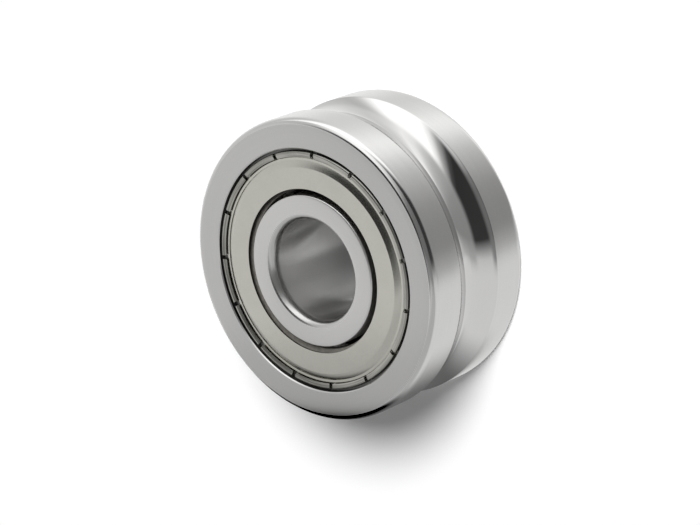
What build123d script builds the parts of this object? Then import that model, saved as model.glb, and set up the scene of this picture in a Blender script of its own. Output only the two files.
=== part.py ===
from build123d import *
import math
import os

# Shielded double-row track roller that runs on a round guide shaft.
# It stands on one end: +Z is the bore axis and the origin is the centre of the lower end face.
# All sizes are in millimetres and degrees.

# Envelope of the two rings
outside_diameter = 24.0
bore_diameter = 8.0
ring_width = 11.0
outer_corner_radial = 0.46
outer_corner_axial = 0.72
bore_corner_radial = 0.45
bore_corner_axial = 0.85

# Gothic-arch track in the rim: two arcs, each a little larger than the guide shaft
shaft_diameter = 8.0
shaft_sink = 0.7
track_radius_factor = 1.05
track_contact_angle = 25.0
track_edge_round = 0.08

# Balls, their two rows and the raceways
ball_diameter = 3.969
pitch_circle_inset = 0.715
balls_per_row = 7
upper_row_start = 10.0
contact_angle = 30.0
race_radius_factor = 0.52
race_clearance = 0.04

# Shoulders and lands beside the raceways, stepped off from the pitch circle
inner_shoulder_inset = 1.42
inner_land_step = 0.415
outer_land_outset = 1.335
outer_shoulder_step = 0.18
shoulder_edge_break = 0.08

# Shield: one pressed sheet, hemmed at its rim into spring tabs
sheet_thickness = 0.2
shield_bore_clearance = 0.62
plate_depth = 0.03
plate_rim_inset = 1.6
plate_bend_radius = 0.4
plate_bend_angle = 45.0
foot_bend_radius = 0.16
hem_drop = 0.35
hem_bend_radius = 0.15
hem_bend_angle = 158.0
hem_catch = 0.07
tab_crown_radius = 0.8
tab_crown_angle = 50.0
tab_reach = 0.8
tab_count = 15
tab_slot_width = 0.28
tab_slot_start = 4.9
tab_corner_round = 0.12
tab_trim_width = 0.14

# Seat of the shield in the outer ring
seat_ledge_width = 0.85
seat_lip_height = 0.11
seat_groove_clearance = 0.06
seat_edge_break = 0.08

# Snap cage of each row
cage_inner_clearance = 0.485
cage_outer_clearance = 0.47
cage_back_clearance = 0.4355
cage_web_thickness = 0.45
cage_pocket_clearance = 0.1
cage_prong_reach = 0.75
prong_slot_width = 0.5
prong_slot_depth = 1.1

# How near a corner must lie to a size to be picked by it
pick_tolerance = 0.0001

# Radii and heights worked out from the sizes above
outside_radius = outside_diameter / 2
bore_radius = bore_diameter / 2
mid_height = ring_width / 2
ball_radius = ball_diameter / 2
pitch_radius = (bore_radius + outside_radius) / 2 - pitch_circle_inset
race_radius = race_radius_factor * ball_diameter
cos_contact = math.cos(math.radians(contact_angle))
sin_contact = math.sin(math.radians(contact_angle))

# Each raceway arc is centred on the contact line, so that it clears the ball by race_clearance there
race_shift = race_radius - ball_radius - race_clearance
outer_race_radius = pitch_radius - race_shift * cos_contact
inner_race_radius = pitch_radius + race_shift * cos_contact
race_rise = race_shift * sin_contact

# Shoulders, lands and cages follow the pitch circle outwards and inwards
inner_shoulder_radius = pitch_radius - inner_shoulder_inset
inner_land_radius = inner_shoulder_radius - inner_land_step
outer_land_radius = pitch_radius + outer_land_outset
outer_shoulder_radius = outer_land_radius + outer_shoulder_step
cage_inner_radius = inner_shoulder_radius + cage_inner_clearance
cage_outer_radius = outer_land_radius - cage_outer_clearance

# Each row stands as near its shield as the cage's back allows
pocket_radius = ball_radius + cage_pocket_clearance
cage_back = mid_height - plate_depth - sheet_thickness - cage_back_clearance
row_offset = cage_back - cage_web_thickness - pocket_radius
cage_front = row_offset - cage_prong_reach

# The flank arcs of the track touch the guide shaft at the contact angle, on either side of mid-width
shaft_to_roller_axis = outside_radius + shaft_diameter / 2 - shaft_sink
flank_radius = track_radius_factor * shaft_diameter / 2
flank_shift = flank_radius - shaft_diameter / 2
flank_center_radius = shaft_to_roller_axis + flank_shift * math.cos(math.radians(track_contact_angle))
flank_center_offset = flank_shift * math.sin(math.radians(track_contact_angle))
track_bottom_radius = flank_center_radius - math.sqrt(flank_radius**2 - flank_center_offset**2)
track_half_opening = (
    math.sqrt(flank_radius**2 - (flank_center_radius - outside_radius) ** 2) - flank_center_offset
)

# The shield's floor lies on the seat, and its hem springs out under the seat's lip
floor_depth = plate_depth + sheet_thickness / 2 + hem_drop
seat_depth = floor_depth + sheet_thickness / 2
seat_mouth_radius = outer_shoulder_radius + seat_ledge_width
hem_nose_radius = seat_mouth_radius + hem_catch
seat_groove_radius = hem_nose_radius + seat_groove_clearance
hem_bend_start_radius = hem_nose_radius - hem_bend_radius - sheet_thickness / 2
plate_bend_start_radius = hem_nose_radius - plate_rim_inset
shield_bore_radius = inner_shoulder_radius + shield_bore_clearance
tab_inner_radius = hem_nose_radius - tab_reach
tab_trim_radius = tab_inner_radius - tab_trim_width

# Outer ring: track in its rim, two raceways and two shield seats in its bore
with BuildPart() as outer_ring:
    with BuildSketch(Plane.XZ) as outer_section:
        with BuildLine() as outer_outline:
            flat_edge = outside_radius - outer_corner_radial
            Line((outer_land_radius, 0), (flat_edge, 0))
            EllipticalCenterArc(
                (flat_edge, outer_corner_axial),
                outer_corner_radial,
                outer_corner_axial,
                start_angle=270,
                arc_size=90,
            )
            Line((outside_radius, outer_corner_axial), (outside_radius, ring_width - outer_corner_axial))
            EllipticalCenterArc(
                (flat_edge, ring_width - outer_corner_axial),
                outer_corner_radial,
                outer_corner_axial,
                start_angle=0,
                arc_size=90,
            )
            Line((flat_edge, ring_width), (outer_land_radius, ring_width))
            Line((outer_land_radius, ring_width), (outer_land_radius, 0))
        make_face()
        with BuildLine() as track_outline:
            edge_low = (outside_radius, mid_height - track_half_opening)
            edge_high = (outside_radius, mid_height + track_half_opening)
            bottom = (track_bottom_radius, mid_height)
            RadiusArc(edge_low, bottom, flank_radius)
            RadiusArc(bottom, edge_high, flank_radius)
            Line(edge_high, edge_low)
        make_face(mode=Mode.SUBTRACT)
        for side in (1, -1):
            race_height = mid_height + side * (row_offset + race_rise)
            with Locations((outer_race_radius, race_height)):
                Circle(race_radius, mode=Mode.SUBTRACT)
            outward = Align.MIN if side > 0 else Align.MAX
            inward = Align.MAX if side > 0 else Align.MIN
            face_height = mid_height + side * mid_height
            with Locations((0, race_height)):
                Rectangle(
                    outer_shoulder_radius,
                    mid_height,
                    align=(Align.MIN, outward),
                    mode=Mode.SUBTRACT,
                )
            with Locations((0, face_height)):
                Rectangle(seat_mouth_radius, seat_depth, align=(Align.MIN, inward), mode=Mode.SUBTRACT)
            with Locations((0, face_height - side * seat_lip_height)):
                Rectangle(
                    seat_groove_radius,
                    seat_depth - seat_lip_height,
                    align=(Align.MIN, inward),
                    mode=Mode.SUBTRACT,
                )
        rim_edges = [
            v
            for v in outer_section.vertices()
            if abs(v.X - outside_radius) < pick_tolerance
            and abs(abs(v.Y - mid_height) - track_half_opening) < pick_tolerance
        ]
        fillet(rim_edges, track_edge_round)
        mouth_edges = [
            v
            for v in outer_section.vertices()
            if abs(v.X - seat_mouth_radius) < pick_tolerance
            and abs(abs(v.Y - mid_height) - mid_height) < pick_tolerance
        ]
        chamfer(mouth_edges, seat_edge_break)
    revolve(axis=Axis.Z)
outer_ring.part.label = "outer_ring"

# Inner ring: plain bore with rounded ends, two raceways and a low land between them
with BuildPart() as inner_ring:
    with BuildSketch(Plane.XZ) as inner_section:
        with BuildLine() as inner_outline:
            flat_edge = bore_radius + bore_corner_radial
            Line((inner_shoulder_radius, 0), (flat_edge, 0))
            EllipticalCenterArc(
                (flat_edge, bore_corner_axial),
                bore_corner_radial,
                bore_corner_axial,
                start_angle=270,
                arc_size=-90,
            )
            Line((bore_radius, bore_corner_axial), (bore_radius, ring_width - bore_corner_axial))
            EllipticalCenterArc(
                (flat_edge, ring_width - bore_corner_axial),
                bore_corner_radial,
                bore_corner_axial,
                start_angle=180,
                arc_size=-90,
            )
            Line((flat_edge, ring_width), (inner_shoulder_radius, ring_width))
            Line((inner_shoulder_radius, ring_width), (inner_shoulder_radius, 0))
        make_face()
        shoulder_corners = [
            v
            for v in inner_section.vertices()
            if abs(v.X - inner_shoulder_radius) < pick_tolerance
        ]
        chamfer(shoulder_corners, shoulder_edge_break)
        with Locations((inner_shoulder_radius, mid_height)):
            Rectangle(
                inner_shoulder_radius - inner_land_radius,
                2 * (row_offset - race_rise),
                align=(Align.MAX, Align.CENTER),
                mode=Mode.SUBTRACT,
            )
        for side in (1, -1):
            with Locations((inner_race_radius, mid_height + side * (row_offset - race_rise))):
                Circle(race_radius, mode=Mode.SUBTRACT)
    revolve(axis=Axis.Z)
inner_ring.part.label = "inner_ring"

# Upper shield: the sheet's middle line is traced to its thickness, then the hem is slotted into tabs
with BuildPart() as upper_shield:
    with BuildSketch(Plane.XZ) as shield_section:
        with BuildLine() as middle_line:
            plate_height = ring_width - plate_depth - sheet_thickness / 2
            floor_height = ring_width - floor_depth
            plate = Line(
                (shield_bore_radius, plate_height),
                (plate_bend_start_radius, plate_height),
            )
            shoulder_bend = JernArc(plate @ 1, (1, 0), plate_bend_radius, -plate_bend_angle)
            foot_drop = foot_bend_radius * (1 - math.cos(math.radians(plate_bend_angle)))
            slope_drop = (shoulder_bend @ 1).Y - floor_height - foot_drop
            slope_run = slope_drop / math.tan(math.radians(plate_bend_angle))
            slope = Line(
                shoulder_bend @ 1,
                ((shoulder_bend @ 1).X + slope_run, (shoulder_bend @ 1).Y - slope_drop),
            )
            foot = JernArc(slope @ 1, slope % 1, foot_bend_radius, plate_bend_angle)
            floor = Line(foot @ 1, (hem_bend_start_radius, floor_height))
            hem = JernArc(floor @ 1, (1, 0), hem_bend_radius, hem_bend_angle)
            crown = JernArc(hem @ 1, hem % 1, tab_crown_radius, tab_crown_angle)
        trace(line_width=sheet_thickness)
    revolve(axis=Axis.Z)
    with BuildSketch(Plane.XY.offset(ring_width)) as tab_cuts:
        Circle(tab_inner_radius)
        Circle(tab_trim_radius, mode=Mode.SUBTRACT)
        slot_length = hem_nose_radius - tab_trim_radius
        with PolarLocations(tab_trim_radius + slot_length, tab_count, start_angle=tab_slot_start):
            Rectangle(2 * slot_length, tab_slot_width)
        tab_corners = [
            v
            for v in tab_cuts.vertices()
            if abs(math.hypot(v.X, v.Y) - tab_inner_radius) < pick_tolerance
        ]
        fillet(tab_corners, tab_corner_round)
    extrude(amount=-(floor_depth - hem_bend_radius), mode=Mode.SUBTRACT)
upper_shield.part.label = "upper_shield"

# Lower shield: the same pressing, turned over at mid-width
with BuildPart() as lower_shield:
    mirror(upper_shield.part, about=Plane.XY.offset(mid_height))
lower_shield.part.label = "lower_shield"

# Upper cage: a moulded crown with ball pockets open towards mid-width and split prongs between them
row_step = 360 / balls_per_row
with BuildPart() as upper_cage:
    with BuildSketch(Plane.XY.offset(mid_height + cage_front)) as cage_plan:
        Circle(cage_outer_radius)
        Circle(cage_inner_radius, mode=Mode.SUBTRACT)
    extrude(amount=cage_back - cage_front)
    with Locations(Plane.XY.offset(mid_height + row_offset)):
        with PolarLocations(pitch_radius, balls_per_row, start_angle=upper_row_start):
            Sphere(pocket_radius, mode=Mode.SUBTRACT)
    with BuildSketch(Plane.XY.offset(mid_height + cage_front)) as prong_slots:
        with PolarLocations(pitch_radius, balls_per_row, start_angle=upper_row_start + row_step / 2):
            Rectangle(2 * (cage_outer_radius - cage_inner_radius), prong_slot_width)
    extrude(amount=prong_slot_depth, mode=Mode.SUBTRACT)
upper_cage.part.label = "upper_cage"

# Lower cage: turned over at mid-width and half a ball step round
with BuildPart() as lower_cage:
    mirror(
        upper_cage.part.rotate(Axis.Z, row_step / 2),
        about=Plane.XY.offset(mid_height),
    )
lower_cage.part.label = "lower_cage"

# Balls, one piece each
balls = []
for row, height, start in (
    ("upper", mid_height + row_offset, upper_row_start),
    ("lower", mid_height - row_offset, upper_row_start + row_step / 2),
):
    for index in range(balls_per_row):
        angle = math.radians(start + index * row_step)
        with BuildPart() as ball:
            with Locations((pitch_radius * math.cos(angle), pitch_radius * math.sin(angle), height)):
                Sphere(ball_radius)
        ball.part.label = f"{row}_ball_{index + 1}"
        balls.append(ball.part)

os.makedirs("parts", exist_ok=True)
export_step(outer_ring.part, "parts/outer_ring.step")
export_step(inner_ring.part, "parts/inner_ring.step")
export_step(upper_shield.part, "parts/upper_shield.step")
export_step(lower_shield.part, "parts/lower_shield.step")
export_step(upper_cage.part, "parts/upper_cage.step")
export_step(lower_cage.part, "parts/lower_cage.step")
for piece in balls:
    export_step(piece, f"parts/{piece.label}.step")
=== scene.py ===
import math

import bpy
import numpy as np
from mathutils import Matrix, Vector


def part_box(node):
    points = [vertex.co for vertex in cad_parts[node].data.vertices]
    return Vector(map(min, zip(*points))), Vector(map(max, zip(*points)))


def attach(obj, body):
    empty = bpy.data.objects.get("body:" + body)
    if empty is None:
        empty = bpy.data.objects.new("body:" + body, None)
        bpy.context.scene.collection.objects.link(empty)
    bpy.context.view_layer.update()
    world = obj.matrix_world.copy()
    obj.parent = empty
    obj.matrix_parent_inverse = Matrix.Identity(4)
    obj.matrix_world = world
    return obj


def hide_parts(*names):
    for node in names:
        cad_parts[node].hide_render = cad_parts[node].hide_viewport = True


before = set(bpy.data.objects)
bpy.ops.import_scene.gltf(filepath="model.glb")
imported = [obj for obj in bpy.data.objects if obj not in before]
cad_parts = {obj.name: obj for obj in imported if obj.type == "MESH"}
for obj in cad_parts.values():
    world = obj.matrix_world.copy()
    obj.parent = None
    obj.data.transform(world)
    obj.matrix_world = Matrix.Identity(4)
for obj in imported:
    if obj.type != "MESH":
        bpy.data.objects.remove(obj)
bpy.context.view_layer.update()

# Looks of a shielded track roller with a gothic-arch groove, standing on one end.
# Lengths are written in millimetres and brought to metres where a mesh is made.
mm = 0.001
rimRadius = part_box("outer_ring")[1].x / mm
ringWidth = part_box("outer_ring")[1].z / mm
midHeight = ringWidth / 2
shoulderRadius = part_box("inner_ring")[1].x / mm
ballLow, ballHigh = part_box("upper_ball_1")
ballRadius = (ballHigh.x - ballLow.x) / 2 / mm
rowHeight = (ballHigh.z + ballLow.z) / 2 / mm
print("frame read: rim", round(rimRadius, 3), "width", round(ringWidth, 3))


# Socket arithmetic: an expression on wires adds its Math nodes to the tree they come from.
class Wire:
    def __init__(self, tree, socket):
        self.tree = tree
        self.socket = socket

    def math(self, operation, *others):
        return self.tree.node("ShaderNodeMath", {"operation": operation}, [self, *others])[0]

    def __add__(self, other):
        return self.math("ADD", other)

    def __sub__(self, other):
        return self.math("SUBTRACT", other)

    def __mul__(self, other):
        return self.math("MULTIPLY", other)

    def __truediv__(self, other):
        return self.math("DIVIDE", other)

    def __rsub__(self, other):  # other - self, made as self * -1 + other
        return self.math("MULTIPLY_ADD", -1.0, other)

    __radd__ = __add__
    __rmul__ = __mul__


bumpDepth = 0.02 * mm  # height of the grain that a bump shows
noiseMiddle = 0.5  # value that a noise swings about


class Tree:
    def __init__(self, tree):
        self.tree = tree
        self.tree.nodes.clear()

    def node(self, kind, settings=None, values=None):  # returns the node's outputs as wires
        made = self.tree.nodes.new(kind)
        for name, value in (settings or {}).items():
            if name == "stops":
                elements = made.color_ramp.elements
                while len(elements) < len(value):
                    elements.new(0.5)  # any place will do, as the next lines set it
                for element, (place, colour) in zip(elements, value):
                    element.position = place
                    element.color = (*colour, 1.0)
            else:
                setattr(made, name, value)
        pairs = values.items() if isinstance(values, dict) else enumerate(values or [])
        for key, value in pairs:
            if isinstance(value, Wire):
                self.tree.links.new(value.socket, made.inputs[key])
            else:
                made.inputs[key].default_value = value
        return [Wire(self, socket) for socket in made.outputs]

    def place(self):  # object coordinates (output 3), as one wire and as x, y and z
        point = self.node("ShaderNodeTexCoord")[3]
        return point, self.node("ShaderNodeSeparateXYZ", {}, [point])

    def step(self, value, low, high):  # 0 below low, 1 above high, smooth between
        return self.node(
            "ShaderNodeMapRange", {"interpolation_type": "SMOOTHSTEP"}, [value, low, high, 0.0, 1.0]
        )[0]

    def noise(self, point, scale, detail):
        return self.node("ShaderNodeTexNoise", {}, {"Vector": point, "Scale": scale, "Detail": detail})[0]

    # The look's dark colour below its tone span, its own colour above. The Mix node takes its factor at
    # socket 0 and its colours at 6 and 7, and gives a colour at output 2.
    def tone(self, value, look):
        colours = {6: (*look["darkColour"], 1.0), 7: (*look["colour"], 1.0)}
        amount = self.step(value, *look["toneSpan"])
        return self.node("ShaderNodeMix", {"data_type": "RGBA"}, {0: amount, **colours})[2]

    def bump(self, strength, height):
        values = {"Strength": strength, "Distance": bumpDepth, "Height": height}
        return self.node("ShaderNodeBump", {}, values)[0]

    def end(self, kind, shader):
        self.node(kind, {}, {"Surface": shader})

    def principled(self, sockets):
        self.end("ShaderNodeOutputMaterial", self.node("ShaderNodeBsdfPrincipled", {}, sockets)[0])


def newMaterial(name):
    material = bpy.data.materials.new(name)
    material.use_nodes = True
    return material, Tree(material.node_tree)


# Steel with grinding lines that run round the axis. The line pattern is noise read at (radius, height)
# many times a millimetre and at the direction round the axis only a few times a turn.
def ringSteel(name, look):
    material, tree = newMaterial(name)
    point, (x, y, z) = tree.place()
    radius = (x * x + y * y).math("SQRT")
    density, breaks = look["linesPerMetre"], look["lineBreaks"]
    across = tree.node("ShaderNodeCombineXYZ", {}, [radius * density, z * density, x / radius * breaks])[0]
    lines = tree.node(
        "ShaderNodeTexNoise",
        {"noise_dimensions": "4D"},
        {"Vector": across, "W": y / radius * breaks, "Scale": 1.0, "Detail": 3.0, "Roughness": 0.6},
    )[0]
    cloud = tree.noise(point, look["cloudScale"], detail=3.0)
    spread = look["roughnessSpread"]
    tree.principled({
        "Base Color": tree.tone(lines * look["lineShare"] + cloud * (1 - look["lineShare"]), look),
        "Metallic": 1.0,
        "Roughness": (lines - noiseMiddle) * spread + (cloud - noiseMiddle) * spread + look["roughness"],
        "Anisotropic": look["anisotropic"],
        "Anisotropic Rotation": look["grainTurn"],
        "Normal": tree.bump(look["bump"], lines),
    })
    return material


grinding = {"toneSpan": (0.3, 0.7), "grainTurn": 0.25, "lineShare": 0.6}  # shared by the steel looks
faceLook = {  # flat end face of the outer ring
    **grinding, "colour": (0.636, 0.633, 0.621), "darkColour": (0.612, 0.610, 0.600),
    "roughness": 0.34, "roughnessSpread": 0.06, "anisotropic": 0.3, "bump": 0.12,
    "linesPerMetre": 9000.0, "lineBreaks": 2.5, "cloudScale": 260.0,
}
ribLook = {  # the two ribs beside the groove
    **grinding, "colour": (0.690, 0.688, 0.675), "darkColour": (0.655, 0.652, 0.640),
    "roughness": 0.20, "roughnessSpread": 0.05, "anisotropic": 0.55, "bump": 0.10,
    "linesPerMetre": 11000.0, "lineBreaks": 2.0, "cloudScale": 240.0,
}
trackLook = {  # polished groove, nearly a mirror
    **grinding, "colour": (0.655, 0.652, 0.645), "darkColour": (0.635, 0.632, 0.625),
    "roughness": 0.04, "roughnessSpread": 0.015, "anisotropic": 0.2, "bump": 0.03,
    "linesPerMetre": 14000.0, "lineBreaks": 3.0, "cloudScale": 300.0, "lineShare": 0.5,
}
cornerLook = {  # rounded corners and the break at the shield's seat
    **grinding, "colour": (0.680, 0.678, 0.668), "darkColour": (0.655, 0.653, 0.645),
    "roughness": 0.15, "roughnessSpread": 0.04, "anisotropic": 0.3, "bump": 0.06,
    "linesPerMetre": 12000.0, "lineBreaks": 3.0, "cloudScale": 260.0,
}
innerFaceLook = {  # flat end face of the inner ring, a little brighter
    **faceLook, "colour": (0.720, 0.715, 0.700), "darkColour": (0.695, 0.690, 0.678),
}
boreLook = {  # honed bore and its rounded ends
    **grinding, "colour": (0.660, 0.656, 0.645), "darkColour": (0.625, 0.622, 0.612),
    "roughness": 0.24, "roughnessSpread": 0.06, "anisotropic": 0.4, "bump": 0.12,
    "linesPerMetre": 8000.0, "lineBreaks": 2.0, "cloudScale": 240.0,
}
shadedSeatLook = {  # races and shield seats, steel darkened as painted shade of the narrow gaps they lie in
    **grinding, "colour": (0.20, 0.20, 0.19), "darkColour": (0.14, 0.14, 0.135),
    "roughness": 0.34, "roughnessSpread": 0.05, "anisotropic": 0.2, "bump": 0.08,
    "linesPerMetre": 7000.0, "lineBreaks": 3.0, "cloudScale": 220.0,
}
shadedHemLook = {  # curled edge and tabs of a shield, lined, with a dark colour that is painted shade of the recess under the lip
    **grinding, "colour": (0.56, 0.553, 0.51), "darkColour": (0.22, 0.217, 0.20),
    "roughness": 0.28, "roughnessSpread": 0.06, "anisotropic": 0.2, "bump": 0.3,
    "linesPerMetre": 10000.0, "lineBreaks": 2.0, "cloudScale": 300.0, "lineShare": 0.75,
}
steelLooks = {
    "groundFace": faceLook, "groundRib": ribLook, "polishedTrack": trackLook, "turnedCorner": cornerLook,
    "innerFace": innerFaceLook, "honedBore": boreLook, "shadedSeatSteel": shadedSeatLook, "shadedHemSheet": shadedHemLook,
}
finishes = {name: ringSteel(name, look) for name, look in steelLooks.items()}


# Metal with mottle in place of lines: the mean of a fine and a broad noise, for plated sheet and balls.
def mottledMetal(name, look):
    material, tree = newMaterial(name)
    point = tree.place()[0]
    fine = tree.noise(point, look["fineScale"], detail=4.0)
    broad = tree.noise(point, look["broadScale"], detail=3.0)
    tree.principled({
        "Base Color": tree.tone((fine + broad) * 0.5, look),
        "Metallic": 1.0,
        "Roughness": (fine - noiseMiddle) * look["roughnessSpread"] + look["roughness"],
        "Normal": tree.bump(look["bump"], fine),
    })
    return material


sheetLook = {
    "colour": (0.618, 0.610, 0.555), "darkColour": (0.579, 0.571, 0.521), "toneSpan": (0.32, 0.68),
    "roughness": 0.21, "roughnessSpread": 0.10, "bump": 0.15, "fineScale": 9000.0, "broadScale": 500.0,
}
ballLook = {
    "colour": (0.74, 0.74, 0.735), "darkColour": (0.72, 0.72, 0.715), "toneSpan": (0.32, 0.68),
    "roughness": 0.06, "roughnessSpread": 0.02, "bump": 0.02, "fineScale": 6000.0, "broadScale": 500.0,
}
finishes["platedSheet"] = mottledMetal("platedSheet", sheetLook)
finishes["ballSteel"] = mottledMetal("ballSteel", ballLook)

cageLook = {
    "colour": (0.17, 0.162, 0.143), "darkColour": (0.12, 0.114, 0.101), "toneSpan": (0.3, 0.7),
    "roughness": 0.55, "roughnessSpread": 0.12, "bump": 0.2, "fineScale": 4000.0,
}


# Moulded cage plastic: dark and matt, with one fine noise as its grain.
def mouldedPlastic(name, look):
    material, tree = newMaterial(name)
    grain = tree.noise(tree.place()[0], look["fineScale"], detail=4.0)
    tree.principled({
        "Base Color": tree.tone(grain, look),
        "Roughness": (grain - noiseMiddle) * look["roughnessSpread"] + look["roughness"],
        "Normal": tree.bump(look["bump"], grain),
    })
    return material


finishes["cagePlastic"] = mouldedPlastic("cagePlastic", cageLook)
print("materials made:", len(finishes))


# An arc of a circle or ellipse: centre + radii * (cos, sin), from one angle to the other in degrees.
def arc(center, radii, start, end, count):
    turn = np.radians(np.linspace(start, end, count))
    radii = np.broadcast_to(radii, 2)
    return np.stack([center[0] + radii[0] * np.cos(turn), center[1] + radii[1] * np.sin(turn)], 1)


# A straight run of an outline, split evenly: start * (1 - share) + end * share.
def run(start, end, count=2):
    share = np.linspace(0, 1, count)[:, None]
    return np.array(start) * (1 - share) + np.array(end) * share


# The same run seen in the mirror at mid-width, taken backwards so that the outline keeps its sense.
def mirrored(points):
    flipped = points[::-1].copy()
    flipped[:, 1] = ringWidth - flipped[:, 1]
    return flipped


# Faces of a grid of points, row by row: each joins a point, its neighbours and the one across from it.
def gridQuads(rows, columns, rowSteps):
    row, column = np.meshgrid(np.arange(rowSteps), np.arange(columns), indexing="ij")
    nextRow, nextColumn = (row + 1) % rows, (column + 1) % columns
    corners = [(row, column), (row, nextColumn), (nextRow, nextColumn), (nextRow, column)]
    return np.stack([first * columns + second for first, second in corners], -1).reshape(-1, 4)


samePlace = 0.0001  # outline points nearer than this are one


# Carries a closed outline of (radius, height) points round the Z axis: x = r cos a, y = r sin a, z = h.
# The spans are (points, finish) in order, counter-clockwise in the (radius, height) plane.
# A face takes the finish of the outline point that it ends at.
def turnedRing(name, spans, values):
    turns = values["turns"]
    names = list(dict.fromkeys(finish for points, finish in spans))
    outline = np.concatenate([points for points, finish in spans])
    marks = np.concatenate([np.full(len(points), names.index(finish)) for points, finish in spans])
    kept = np.linalg.norm(outline - np.roll(outline, 1, axis=0), axis=1) > samePlace
    outline, marks = outline[kept] * mm, marks[kept]
    turn = np.linspace(0, 2 * np.pi, turns, endpoint=False)
    place = np.empty((len(outline), turns, 3))
    place[..., 0] = outline[:, :1] * np.cos(turn)
    place[..., 1] = outline[:, :1] * np.sin(turn)
    place[..., 2] = outline[:, 1:]
    quads = gridQuads(len(outline), turns, len(outline))
    faceMarks = np.repeat(np.roll(marks, -1), turns)
    return meshPiece(name, place.reshape(-1, 3), quads, faceMarks, names, values["sharpAngle"])


# Puts vertices and quads into a new mesh, with one material for each mark and edges kept sharp
# where two faces turn by more than the sharp angle.
def meshPiece(name, place, quads, marks, names, sharpAngle):
    mesh = bpy.data.meshes.new(name)
    mesh.vertices.add(len(place))
    mesh.vertices.foreach_set("co", place.astype(np.float32).ravel())
    mesh.loops.add(quads.size)
    mesh.loops.foreach_set("vertex_index", quads.astype(np.int32).ravel())
    mesh.polygons.add(len(quads))
    mesh.polygons.foreach_set("loop_start", np.arange(0, quads.size, 4, dtype=np.int32))
    mesh.polygons.foreach_set("material_index", marks.astype(np.int32))
    for finish in names:
        mesh.materials.append(finishes[finish])
    mesh.update(calc_edges=True)
    mesh.validate()
    mesh.shade_smooth()
    mesh.set_sharp_from_angle(angle=math.radians(sharpAngle))
    piece = bpy.data.objects.new(name, mesh)
    bpy.context.scene.collection.objects.link(piece)
    return piece


# Raceways, between the shoulder and the land beside each. The race factor is race radius over ball radius.
raceValues = {
    "pitchRadius": 7.285, "contactAngle": 30.0, "raceFactor": 1.04, "clearance": 0.04,
    "outerShoulder": 8.80, "outerLand": 8.62, "innerLand": 5.45, "points": 24,
}
raceRadius = raceValues["raceFactor"] * ballRadius
raceShift = raceRadius - ballRadius - raceValues["clearance"]
raceOut = raceShift * math.cos(math.radians(raceValues["contactAngle"]))
raceUp = raceShift * math.sin(math.radians(raceValues["contactAngle"]))


# The arc of a race from where it meets the first radius to where it meets the last. At a radius it stands
# off its middle direction by the arc cosine of that radius's distance from the centre over the race radius.
def raceArc(center, middle, firstRadius, lastRadius):
    across = np.abs(np.array([firstRadius, lastRadius]) - center[0])
    first, last = np.degrees(np.arccos(across / raceRadius))
    return arc(center, raceRadius, middle + first, middle - last, raceValues["points"])


outerValues = {
    "cornerRadial": 0.46, "cornerAxial": 0.72, "shaftRadius": 4.0, "shaftSink": 0.7, "arcFactor": 1.05,
    "contactAngle": 25.0, "edgeRound": 0.08, "mouthRadius": 9.65, "mouthBreak": 0.08, "lipHeight": 0.11,
    "grooveRadius": 9.78, "seatDepth": 0.43, "turns": 480, "sharpAngle": 24.0,
    "cornerPoints": 14, "straightPoints": 4, "edgePoints": 5, "trackPoints": 30,
}


# Outer ring: end face, rounded corner, rib and half the gothic track, then the seat and the races inside.
# Each flank of the track is an arc a little larger than the shaft, which touches it at the contact angle.
def outerRing():
    v = outerValues
    flank = v["arcFactor"] * v["shaftRadius"]
    shift = flank - v["shaftRadius"]
    lean = math.radians(v["contactAngle"])
    centerRadius = rimRadius + v["shaftRadius"] - v["shaftSink"] + shift * math.cos(lean)
    centerHeight = midHeight + shift * math.sin(lean)  # of the arc that makes the lower flank
    roundRadius = rimRadius - v["edgeRound"]
    roundReach = math.sqrt((flank + v["edgeRound"]) ** 2 - (centerRadius - roundRadius) ** 2)
    roundHeight = centerHeight - roundReach
    towards = math.degrees(math.atan2(roundReach, centerRadius - roundRadius))
    below = midHeight - centerHeight
    bottomAngle = math.degrees(math.atan2(below, -math.sqrt(flank**2 - below**2)))
    cornerStart = rimRadius - v["cornerRadial"]
    faceStart = v["mouthRadius"] + v["mouthBreak"]
    cornerRadii = (v["cornerRadial"], v["cornerAxial"])
    breakFlat = run((v["mouthRadius"], v["mouthBreak"]), (faceStart, 0))
    face = run((faceStart, 0), (cornerStart, 0), v["straightPoints"])
    corner = arc((cornerStart, v["cornerAxial"]), cornerRadii, -90, 0, v["cornerPoints"])
    rib = run((rimRadius, v["cornerAxial"]), (rimRadius, roundHeight), v["straightPoints"])
    edge = arc((roundRadius, roundHeight), v["edgeRound"], 0, towards, v["edgePoints"])
    track = arc((centerRadius, centerHeight), flank, towards - 180, bottomAngle, v["trackPoints"])
    lowerHalf = [
        (breakFlat, "turnedCorner"), (face, "groundFace"), (corner, "turnedCorner"), (rib, "groundRib"),
        (edge, "polishedTrack"), (track, "polishedTrack"),
    ]
    upperHalf = [(mirrored(points), finish) for points, finish in lowerHalf[::-1]]
    raceCenter = (raceValues["pitchRadius"] - raceOut, rowHeight + raceUp)
    seat = np.array([
        (v["mouthRadius"], ringWidth - v["mouthBreak"]), (v["mouthRadius"], ringWidth - v["lipHeight"]),
        (v["grooveRadius"], ringWidth - v["lipHeight"]), (v["grooveRadius"], ringWidth - v["seatDepth"]),
        (raceValues["outerShoulder"], ringWidth - v["seatDepth"]),
    ])
    race = raceArc(raceCenter, 0, raceValues["outerShoulder"], raceValues["outerLand"])
    # The seat and the races take the darkened steel, painted shade.
    inside = [(points, "shadedSeatSteel") for points in (seat, race, mirrored(race), mirrored(seat))]
    return turnedRing("outerRing", lowerHalf + upperHalf + inside, v)


innerValues = {
    "boreRadius": 4.0, "cornerRadial": 0.55, "cornerAxial": 0.95, "edgeRadial": 0.15, "edgeAxial": 0.12,
    "shoulderOut": 0.15, "turns": 360, "sharpAngle": 24.0,
    "facePoints": 4, "edgePoints": 6, "cornerPoints": 16, "borePoints": 6,
}


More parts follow.
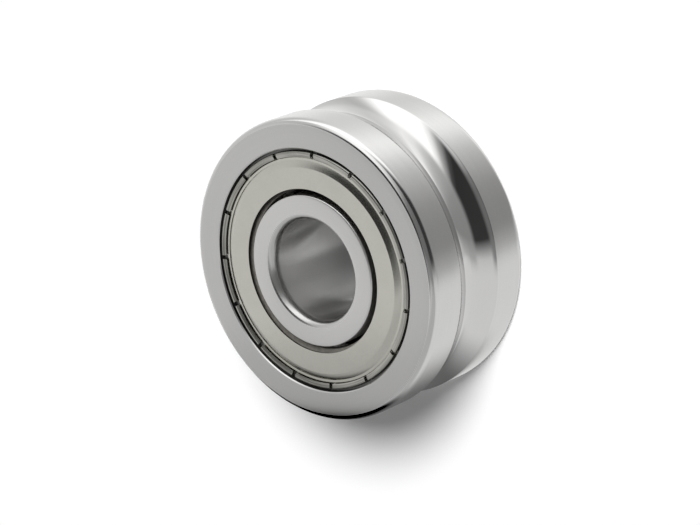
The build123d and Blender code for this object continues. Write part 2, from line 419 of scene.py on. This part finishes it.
# Inner ring: end faces with rounded bore ends, a honed bore, and the two races outside.
def innerRing():
    v = innerValues
    flat = v["boreRadius"] + v["cornerRadial"]
    shoulder = shoulderRadius + v["shoulderOut"]
    edgeStart = shoulder - v["edgeRadial"]
    edgeRadii, cornerRadii = (v["edgeRadial"], v["edgeAxial"]), (v["cornerRadial"], v["cornerAxial"])
    face = run((flat, 0), (edgeStart, 0), v["facePoints"])
    edge = arc((edgeStart, v["edgeAxial"]), edgeRadii, -90, 0, v["edgePoints"])
    corner = arc((flat, v["cornerAxial"]), cornerRadii, 180, 270, v["cornerPoints"])
    boreTop = (v["boreRadius"], ringWidth - v["cornerAxial"])
    bore = run(boreTop, (v["boreRadius"], v["cornerAxial"]), v["borePoints"])
    raceCenter = (raceValues["pitchRadius"] + raceOut, rowHeight - raceUp)
    upperRace = raceArc(raceCenter, 180, raceValues["innerLand"], shoulder)
    # The races take the darkened steel, painted shade.
    lower = [(face, "innerFace"), (edge, "innerFace"), (mirrored(upperRace), "shadedSeatSteel")]
    upper = [(upperRace, "shadedSeatSteel"), (mirrored(edge), "innerFace"), (mirrored(face), "innerFace")]
    boreSide = [(mirrored(corner), "honedBore"), (bore, "honedBore"), (corner, "honedBore")]
    return turnedRing("innerRing", lower + upper + boreSide, v)


# Falls are in degrees below the level. Each bend turns the sheet from one fall to the next.
shieldValues = {
    "thickness": 0.12, "boreRadius": 6.52, "plateDepth": 0.09, "creaseRadius": 8.17, "creaseBend": 0.12,
    "creaseFall": 24.0, "easeBend": 0.25, "easeFall": 17.0, "slopeBend": 2.3, "slopeFall": 29.0,
    "footBend": 0.08, "ledgeEnd": 8.88, "stepBend": 0.07, "stepFall": 55.0, "floorEnd": 9.275,
    "curlBend": 0.13, "curlAngle": 194.0, "tabReach": 0.25, "tabs": 15, "slotWidth": 0.33,
    "slotStart": 4.9, "tabCorner": 0.07, "turns": 480, "tabTurns": 24, "sharpAngle": 40.0,
    "platePoints": 8, "creasePoints": 5, "easePoints": 4, "slopePoints": 14, "footPoints": 8,
    "ledgePoints": 3, "stepPoints": 8, "straightPoints": 5, "curlPoints": 25, "tabPoints": 40,
}


# A bend of the sheet's middle line: from a point, going at one fall, round to another with one radius:
# out = r (sin fall - sin first), down = r (cos first - cos fall). A growing fall turns the line downwards.
def bend(start, first, last, radius, count):
    side = 1.0 if last > first else -1.0
    falls = np.radians(np.linspace(first, last, count))
    begin = math.radians(first)
    out = side * radius * (np.sin(falls) - math.sin(begin))
    down = side * radius * (math.cos(begin) - np.cos(falls))
    return np.stack([start[0] + out, start[1] - down], 1)


# Lays both faces of a sheet beside its middle line: point +- half thickness along the line's normal.
def sheetFaces(line, thickness):
    along = np.gradient(line, axis=-2)
    along /= np.linalg.norm(along, axis=-1, keepdims=True)
    normal = np.stack([-along[..., 1], along[..., 0]], -1)
    return line + normal * thickness / 2, line - normal * thickness / 2


# Carries the sheet's middle lines, one for each angle, round the axis and closes its edges and ends.
def sweptSheet(lines, angles, thickness, whole):
    top, below = sheetFaces(lines, thickness)
    loop = np.concatenate([top, below[:, ::-1]], 1) * mm
    cosines, sines = np.cos(angles)[:, None], np.sin(angles)[:, None]
    place = np.stack([loop[..., 0] * cosines, loop[..., 0] * sines, loop[..., 1]], -1)
    turns, around = loop.shape[:2]
    quads = gridQuads(turns, around, turns if whole else turns - 1)
    if not whole:
        strip = np.arange(around // 2 - 1)
        cap = np.stack([strip, around - 1 - strip, around - 2 - strip, strip + 1], 1)
        quads = np.concatenate([quads, cap, cap[:, ::-1] + (turns - 1) * around])
    return place.reshape(-1, 3), quads


# Middle line of the turned sheet, from the bore to the floor, and of a tab, from the floor round the curl.
def shieldLines(v):
    plateHeight = ringWidth - v["plateDepth"]
    plate = run((v["boreRadius"], plateHeight), (v["creaseRadius"], plateHeight), v["platePoints"])
    crease = bend(plate[-1], 0, v["creaseFall"], v["creaseBend"], v["creasePoints"])
    ease = bend(crease[-1], v["creaseFall"], v["easeFall"], v["easeBend"], v["easePoints"])
    slope = bend(ease[-1], v["easeFall"], v["slopeFall"], v["slopeBend"], v["slopePoints"])
    foot = bend(slope[-1], v["slopeFall"], 0, v["footBend"], v["footPoints"])
    ledge = run(foot[-1], (v["ledgeEnd"], foot[-1][1]), v["ledgePoints"])
    drop = bend(ledge[-1], 0, v["stepFall"], v["stepBend"], v["stepPoints"])
    landing = bend(drop[-1], v["stepFall"], 0, v["stepBend"], v["stepPoints"])
    tabFloor = run(landing[-1], (v["floorEnd"], landing[-1][1]), v["straightPoints"])
    curl = bend(tabFloor[-1], 0, -v["curlAngle"], v["curlBend"], v["curlPoints"])
    rise = math.radians(v["curlAngle"] - 180)
    tabEnd = curl[-1] - v["tabReach"] * np.array([math.cos(rise), math.sin(rise)])
    tab = run(curl[-1], tabEnd, v["straightPoints"])
    body = [plate, crease, ease, slope, foot, ledge, drop]
    bodyLine = np.concatenate([part[:-1] for part in body] + [landing])
    return bodyLine, np.concatenate([tabFloor[:-1], curl[:-1], tab])


# Shield: plate, crease, slope and floor in one turned sheet, then the curled edge cut into tabs by slots.
# A tab's columns lie closer near its slots, and its round corners come from drawing its free end back there:
# back = c - sqrt(c^2 - near^2), where near is how far inside the corner radius c the column lies.
def shieldPiece(name, lower):
    v = shieldValues
    bodyLine, tabLine = shieldLines(v)
    angles = np.linspace(0, 2 * np.pi, v["turns"], endpoint=False)
    bodyLines = np.broadcast_to(bodyLine, (v["turns"], *bodyLine.shape))
    parts = [sweptSheet(bodyLines, angles, v["thickness"], True)]
    length = np.concatenate([[0], np.cumsum(np.linalg.norm(np.diff(tabLine, axis=0), axis=1))])
    step = 2 * np.pi / v["tabs"]
    gap = v["slotWidth"] / v["floorEnd"]
    share = (1 - np.cos(np.linspace(0, np.pi, v["tabTurns"]))) / 2
    ends = np.minimum(share, 1 - share) * (step - gap) * v["floorEnd"]
    near = np.clip(v["tabCorner"] - ends, 0, None)
    drawn = v["tabCorner"] - np.sqrt(v["tabCorner"] ** 2 - near**2)
    stations = np.linspace(0, 1, v["tabPoints"])[None, :] * (length[-1] - drawn)[:, None]
    tabLines = np.stack([np.interp(stations, length, tabLine[:, axis]) for axis in range(2)], -1)
    for index in range(v["tabs"]):
        first = math.radians(v["slotStart"]) + index * step + gap / 2
        parts.append(sweptSheet(tabLines, first + share * (step - gap), v["thickness"], False))
    place = np.concatenate([points for points, faces in parts])
    starts = np.cumsum([0] + [len(points) for points, faces in parts[:-1]])
    quads = np.concatenate([faces + start for (points, faces), start in zip(parts, starts)])
    marks = (np.arange(len(quads)) >= len(parts[0][1])).astype(int)  # 0 on the turned sheet, 1 on the tabs
    if lower:  # turned over about the X axis at mid-width
        place = place * (1, -1, -1) + (0, 0, ringWidth * mm)
    # The tabs take the darkened sheet, painted shade of the recess under the lip.
    return meshPiece(name, place, quads, marks, ["platedSheet", "shadedHemSheet"], v["sharpAngle"])


for node, make in {
    "outer_ring": outerRing, "inner_ring": innerRing,
    "upper_shield": lambda: shieldPiece("upperShield", False),
    "lower_shield": lambda: shieldPiece("lowerShield", True),
}.items():
    piece = make()
    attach(piece, "inner_ring" if node == "inner_ring" else "outer_ring")
    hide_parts(node)
    print("made", piece.name, len(piece.data.polygons), "quads")

# Carried-over pieces keep their shape and get their finish.
for node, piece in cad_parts.items():
    piece.data.materials.clear()
    piece.data.materials.append(finishes["cagePlastic" if "cage" in node else "ballSteel"])
print("finished", len(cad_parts), "carried-over pieces")


# A flat sheet of four corners, given in mm, that belongs to the studio and not to the roller.
def stageSheet(name, corners, material):
    mesh = bpy.data.meshes.new(name)
    mesh.from_pydata([tuple(c * mm for c in corner) for corner in corners], [], [(0, 1, 2, 3)])
    mesh.materials.append(material)
    sheet = bpy.data.objects.new(name, mesh)
    bpy.context.scene.collection.objects.link(sheet)
    return sheet


# A level square round the axis, as corners for a sheet.
def levelSquare(half, height):
    return [(-half, -half, height), (half, -half, height), (half, half, height), (-half, half, height)]


# Floor: pale, in shadow under the roller, plain white to the camera. Mirror rays pass it and see the room.
floorValues = {"halfSize": 1500.0, "albedo": 0.9, "glow": 0.05}
floorMaterial, tree = newMaterial("paleFloor")
cameraRay = tree.node("ShaderNodeLightPath")[0]
diffuse = tree.node("ShaderNodeBsdfDiffuse", {}, {"Color": (*[floorValues["albedo"]] * 3, 1.0)})[0]
glow = tree.node("ShaderNodeEmission", {}, {"Strength": cameraRay * floorValues["glow"]})[0]
tree.end("ShaderNodeOutputMaterial", tree.node("ShaderNodeAddShader", {}, [diffuse, glow])[0])
floor = stageSheet("floor", levelSquare(floorValues["halfSize"], 0), floorMaterial)
floor.visible_glossy = False


# Room that the metal mirrors. Three bands of height, each with its own brightness by azimuth round the
# roller (degrees from +X), run into one another at two spans of height in degrees. The middle band's pattern
# slants: beyond the slant span's azimuths it shifts by slant degrees for each degree above slantFrom.
# Overhead is a dark round spot: its centre and radii are lengths in the level plane of the unit direction,
# and it fades in where that direction's height lies between the two of "above".
roomValues = {
    "low": [
        (-180, 1.22), (-140, 0.98), (-79, 0.80), (-48, 0.84), (-30, 0.82), (-17, 0.62), (-4, 0.40),
        (14, 0.42), (30, 0.48), (45, 0.66), (60, 0.86), (70, 1.1), (80, 1.45), (92, 1.6), (102, 1.35),
        (114, 1.16), (125, 1.05), (138, 1.10), (152, 1.22), (165, 1.28), (180, 1.22),
    ],
    "middle": [
        (-180, 1.15), (-110, 0.95), (-52, 1.02), (-26, 0.95), (-19, 0.92), (-11, 0.36), (-6, 0.06),
        (34, 0.05), (41, 0.12), (51, 0.72), (58, 1.5), (65, 2.0), (107, 2.0), (113, 1.6), (118, 1.2),
        (124, 0.92), (131, 0.84), (148, 0.98), (180, 1.15),
    ],
    "high": [
        (-180, 0.98), (-150, 0.94), (-136, 0.84), (-123, 0.48), (-93, 0.40), (-60, 0.36), (-30, 0.40),
        (-17, 0.38), (-4, 0.24), (24, 0.24), (36, 0.32), (45, 0.62), (55, 1.02), (66, 1.5), (80, 1.85),
        (101, 1.65), (112, 1.25), (121, 0.90), (135, 0.80), (149, 0.90), (180, 0.98),
    ],
    "lowToMiddle": (-35.0, -23.0), "middleToHigh": (5.0, 13.0), "top": 2.0, "ambient": 0.22,
    "slant": 0.7, "slantFrom": -19.0, "slantSpan": (0.0, 30.0),
    "overhead": {"centre": (-0.15, 0.21), "inner": 0.31, "outer": 0.53, "level": 0.04, "above": (0.2, 0.6)},
}
world = bpy.data.worlds.new("room")
world.use_nodes = True
world.cycles.sampling_method = "NONE"
bpy.context.scene.world = world
tree = Tree(world.node_tree)
direction = tree.node("ShaderNodeTexCoord")[0]  # in a world this output is the ray's unit direction
x, y, z = tree.node("ShaderNodeSeparateXYZ", {}, [direction])
azimuth = y.math("ARCTAN2", x) * math.degrees(1)
height = z.math("ARCSINE") * math.degrees(1)
slanting = tree.step(azimuth, *roomValues["slantSpan"])
slant = (height - roomValues["slantFrom"]) * roomValues["slant"] * slanting


# Brightness of one band at an azimuth in degrees, read off a ramp that runs once round the room.
def bandLevel(name, angle):
    stops = [((stop + 180) / 360, [level / roomValues["top"]] * 3) for stop, level in roomValues[name]]
    ramp = tree.node("ShaderNodeValToRGB", {"stops": stops}, [(angle + 180) * (1 / 360)])[0]
    return ramp * roomValues["top"]


# Runs one level into the next between two heights: first + (second - first) * smooth step.
def heightBlend(first, second, span):
    return first + (second - first) * tree.step(height, *roomValues[span])


level = heightBlend(bandLevel("low", azimuth), bandLevel("middle", azimuth - slant), "lowToMiddle")
level = heightBlend(level, bandLevel("high", azimuth), "middleToHigh")
spot = roomValues["overhead"]
east, north = x - spot["centre"][0], y - spot["centre"][1]
away = (east * east + north * north).math("SQRT")
inside = (1 - tree.step(away, spot["inner"], spot["outer"])) * tree.step(z, *spot["above"])
level = level + (spot["level"] - level) * inside
rays = tree.node("ShaderNodeLightPath")
cameraRay, glossyRay = rays[0], rays[3]
level = roomValues["ambient"] + (level - roomValues["ambient"]) * glossyRay
level = level + (1 - level) * cameraRay
tree.end("ShaderNodeOutputWorld", tree.node("ShaderNodeBackground", {}, {"Strength": level})[0])
print("floor and room made")


# A card that only mirror rays meet. The paint gives its glow and its cover at a place in mm.
def mirrorCard(name, corners, paint):
    material, tree = newMaterial(name)
    strength, cover = paint(tree, *[axis * (1 / mm) for axis in tree.place()[1]])
    clear = tree.node("ShaderNodeBsdfTransparent")[0]
    glow = tree.node("ShaderNodeEmission", {}, {"Strength": strength})[0]
    tree.end("ShaderNodeOutputMaterial", tree.node("ShaderNodeMixShader", {}, [cover, clear, glow])[0])
    card = stageSheet(name, corners, material)
    for kind in ("camera", "diffuse", "shadow", "transmission", "volume_scatter"):
        setattr(card, f"visible_{kind}", False)


# A window that opens between the first two values and closes between the last two.
def window(tree, value, opening, closing):
    return tree.step(value, *opening) * (1 - tree.step(value, *closing))


# Table beside the roller's lower side, a glowing card: bright, with painted shade near the front end where
# the roller would shade it.
# The shade's upper edge leans down beyond leanFrom.
tableValues = {
    "y": -12.06, "reach": 60.0, "lit": 0.86, "shade": 0.16, "front": 0.57,
    "shadeX": ((-20.0, -9.0), (4.5, 11.5)), "shadeZ": ((-0.5, 2.2), (11.3, 14.5)),
    "leanFrom": 3.6, "lean": 0.6,
    "frontX": ((-40.0, -25.0), (30.0, 46.0)), "frontZ": ((9.5, 12.0), (24.0, 44.0)),
    "fadeX": ((-60.0, -45.0), (24.0, 46.0)), "fadeZ": ((-60.0, -40.0), (30.0, 55.0)),
}


def tablePaint(tree, x, y, z):
    v = tableValues
    leaning = z + (x - v["leanFrom"]).math("MAXIMUM", 0.0) * v["lean"]
    shade = window(tree, x, *v["shadeX"]) * window(tree, leaning, *v["shadeZ"])
    front = window(tree, x, *v["frontX"]) * window(tree, z, *v["frontZ"])
    level = v["lit"] - shade * (v["lit"] - v["shade"]) - front * (v["lit"] - v["front"])
    return level, window(tree, x, *v["fadeX"]) * window(tree, z, *v["fadeZ"])


reach, side = tableValues["reach"], tableValues["y"]
tableCorners = [(-reach, side, -reach), (reach, side, -reach), (reach, side, reach), (-reach, side, reach)]
mirrorCard("tableCard", tableCorners, tablePaint)

# Veil under the bore: dims the room that the bore mirrors through its far opening, less towards +X.
boreCardValues = {
    "half": 3.99, "z": 0.03, "level": 0.08, "most": 0.77, "least": 0.34, "clearing": (-1.5, 2.2),
}


def borePaint(tree, x, y, z):
    v = boreCardValues
    return v["level"], v["most"] - (v["most"] - v["least"]) * tree.step(x, *v["clearing"])


mirrorCard("boreCard", levelSquare(boreCardValues["half"], boreCardValues["z"]), borePaint)
print("mirror cards made")

# Key light: a broad soft sun that lights the floor and throws the roller's shadow below it in the picture.
# The angle is the sun's width in degrees, and "from" points at it.
sunValues = {"strength": 3.75, "angle": 22.0, "from": (0.62, 0.62, 1.0)}
sun = bpy.data.lights.new("key", "SUN")
sun.energy = sunValues["strength"]
sun.angle = math.radians(sunValues["angle"])
key = bpy.data.objects.new("key", sun)
key.rotation_mode = "QUATERNION"
key.rotation_quaternion = Vector(sunValues["from"]).to_track_quat("Z", "Y")
key.visible_glossy = False
bpy.context.scene.collection.objects.link(key)

# Camera: where the photograph was taken from, with the picture's up leaning to the roller's +Y side.
# The place, lens and sensor are in mm, and near and far, the limits of its view, in metres.
cameraValues = {
    "place": (139.240, 39.266, 156.309), "backward": (0.6684030, 0.1906998, 0.7189374),
    "up": (0.0, 0.9665745, -0.2563861), "lens": 137.83, "sensor": 36.0, "near": 0.005, "far": 20.0,
}
cam = bpy.data.cameras.new("camera")
cam.lens = cameraValues["lens"]
cam.sensor_width = cameraValues["sensor"]
cam.clip_start = cameraValues["near"]
cam.clip_end = cameraValues["far"]
eye = bpy.data.objects.new("camera", cam)
bpy.context.scene.collection.objects.link(eye)
backward = Vector(cameraValues["backward"]).normalized()
right = Vector(cameraValues["up"]).cross(backward).normalized()
up = backward.cross(right)
turned = Matrix((right, up, backward)).transposed().to_4x4()
eye.matrix_world = Matrix.Translation(Vector(cameraValues["place"]) * mm) @ turned
bpy.context.scene.camera = eye
bpy.context.scene.view_settings.view_transform = "Standard"
print("light and camera placed")
